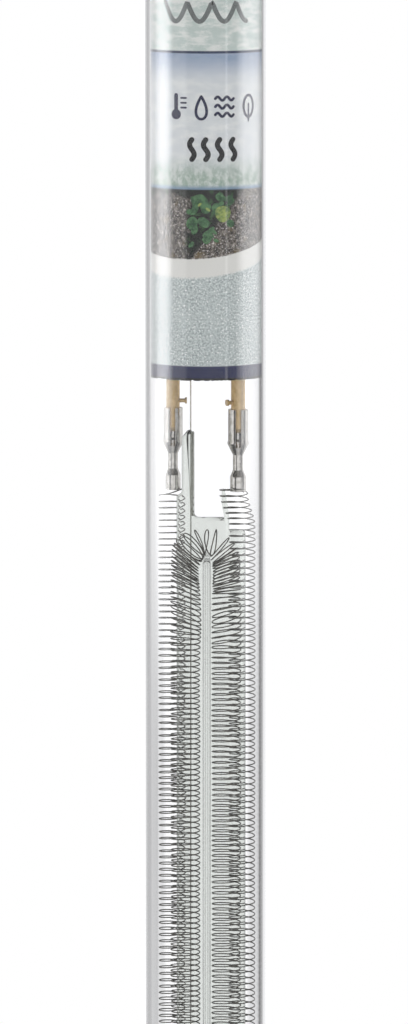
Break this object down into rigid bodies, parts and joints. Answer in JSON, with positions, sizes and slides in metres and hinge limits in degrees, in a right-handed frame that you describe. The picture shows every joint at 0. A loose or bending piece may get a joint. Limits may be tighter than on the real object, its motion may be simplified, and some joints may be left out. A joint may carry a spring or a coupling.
{
  "type": "submersible aquarium heater",
  "caption": "Glass-tube submersible aquarium heater with wire heating coil, bimetal thermostat, printed sleeve and a temperature dial on its sealed head.",
  "frame": {"origin": "on the glass tube's axis, halfway along the bare glass that a holder clip grips", "axes": "+Z along the tube towards the dial; -Y is the side the print faces; +X is to the right when the print is looked at"},
  "size_m": [0.0326, 0.0343, 0.3681],
  "materials": {
    "clear_glass": "polished",
    "former_glass": "fire polished",
    "lamp_glass": "polished",
    "printed_label": "satin print",
    "silicone": "satin",
    "mica": "satin",
    "resistance_wire": "oxidised",
    "brass": "dull",
    "nickel_plate": "bright plate",
    "steel": "plain",
    "black_moulding": "fine texture",
    "chassis_moulding": "satin",
    "magnet": "sintered",
    "capacitor_case": "gloss",
    "resistor_body": "lacquer",
    "blue_insulation": "satin",
    "brown_insulation": "satin",
    "white_insulation": "satin",
    "seal_rubber": "matte",
    "scale_plastic": "satin",
    "knob_plastic": "satin",
    "pointer_plastic": "satin",
    "spindle_plastic": "satin",
    "spring_bronze": "rolled",
    "contact_silver": "plain",
    "bimetal": "rolled",
    "nut_plastic": "satin"
  },
  "bodies": {
    "housing": {"glass_tube": "clear_glass", "label_sleeve": "printed_label", "end_buffer": "silicone", "former_spacer": "mica", "glass_former": "former_glass", "heating_coil": "resistance_wire", "stay_rod": "nickel_plate", "terminal_disc": "black_moulding", "terminal_post_left": "brass", "terminal_post_right": "brass", "post_cross_pins": "brass", "post_nuts": "brass", "crimp_contact_left": "nickel_plate", "crimp_contact_right": "nickel_plate", "thermostat_chassis": "chassis_moulding", "chassis_screws": "steel", "strip_rivets": "steel", "snap_magnet": "magnet", "suppression_capacitor": "capacitor_case", "lamp_resistor": "resistor_body", "indicator_lamp": "lamp_glass", "supply_tags": "brass", "neutral_lead": "blue_insulation", "live_lead": "brown_insulation", "load_lead": "white_insulation", "collar_nut": "black_moulding", "tube_seal": "seal_rubber", "head_housing": "black_moulding", "scale_ring": "scale_plastic", "cable_gland": "seal_rubber", "spindle_o_ring": "seal_rubber", "seal_washer": "steel"},
    "dial": {"dial_knob": "knob_plastic", "dial_pointer": "pointer_plastic", "dial_spindle": "spindle_plastic", "spindle_clip": "steel"},
    "nut": {"setting_nut": "nut_plastic"},
    "blade": {"contact_blade": "spring_bronze", "fixed_contact": "contact_silver"},
    "bimetal": {"bimetal_strip": "bimetal", "moving_contact": "contact_silver", "armature": "steel"}
  },
  "joints": [
    {"name": "dial_turn", "type": "hinge", "parent": "housing", "child": "dial", "pos_m": [0, 0, 0.197], "axis": [0, 0, 1], "range_deg": [-135, 135]},
    {"name": "nut_travel", "type": "slide", "parent": "housing", "child": "nut", "axis": [0, 0, 1], "range_m": [-0.00057, 0.00057]},
    {"name": "blade_flex", "type": "hinge", "parent": "housing", "child": "blade", "pos_m": [0.0044, -0.0014, 0.099], "axis": [0, 1, 0], "range_deg": [-0.83, 0.83]},
    {"name": "bimetal_flex", "type": "hinge", "parent": "housing", "child": "bimetal", "pos_m": [0.00128, -0.0014, 0.079], "axis": [0, 1, 0], "range_deg": [-1.5, 0.4], "stiffness_Nm_per_rad": 0.05}
  ],
  "couplings": [
    {"joint": "nut_travel", "follows": "dial_turn", "m_per_rad": -0.00023873},
    {"joint": "blade_flex", "follows": "dial_turn", "ratio": 0.006013}
  ]
}
